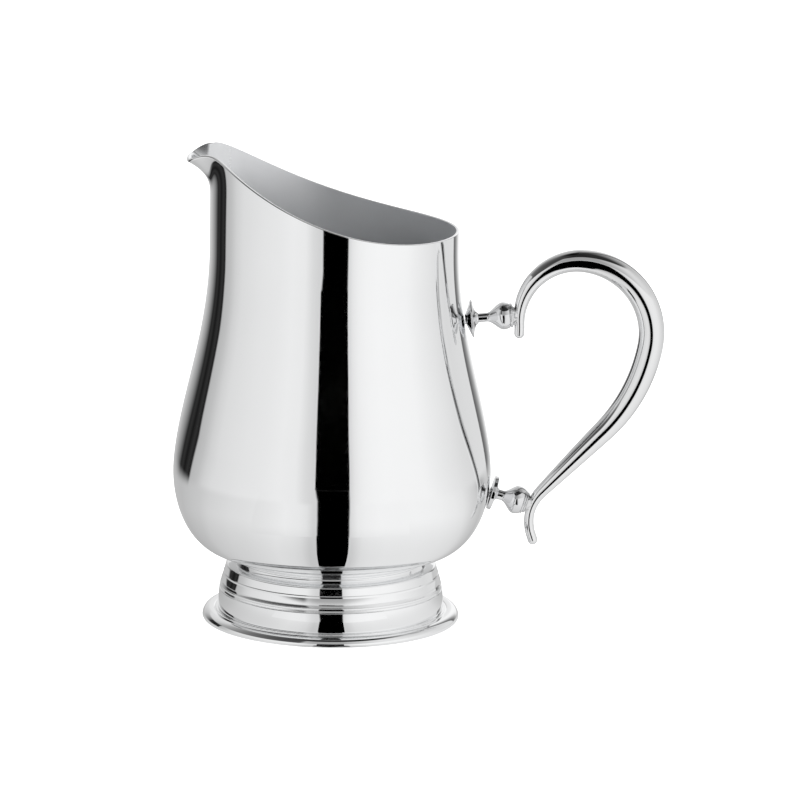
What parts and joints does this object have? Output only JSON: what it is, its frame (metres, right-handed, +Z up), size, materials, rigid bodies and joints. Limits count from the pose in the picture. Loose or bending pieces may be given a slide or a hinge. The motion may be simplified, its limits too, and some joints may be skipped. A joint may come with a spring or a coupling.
{
  "type": "cream jug",
  "caption": "Footed pear-shaped cream jug with a sloping rim, an outturned pouring lip and a scroll handle held on turned baluster mounts.",
  "frame": {"origin": "centre of the ring the foot rests on, on the jug's upright axis, in the plane of the table", "axes": "+Z up along the jug's axis, -X towards the pouring lip, +X towards the handle, Y across"},
  "size_m": [0.1136, 0.074, 0.1101],
  "materials": {
    "silver_body": "mirror polished outside, satin inside",
    "silver_foot": "mirror polished",
    "silver_handle": "mirror polished",
    "silver_mounts": "mirror polished"
  },
  "bodies": {
    "root": {"body_shell": "silver_body", "neck_collar": "silver_foot", "foot_shell": "silver_foot", "base_moulding": "silver_foot", "handle": "silver_handle", "upper_disc": "silver_mounts", "upper_baluster": "silver_mounts", "upper_ring": "silver_mounts", "lower_disc": "silver_mounts", "lower_baluster": "silver_mounts", "lower_ring_inner": "silver_mounts", "lower_ring_outer": "silver_mounts"}
  },
  "joints": []
}
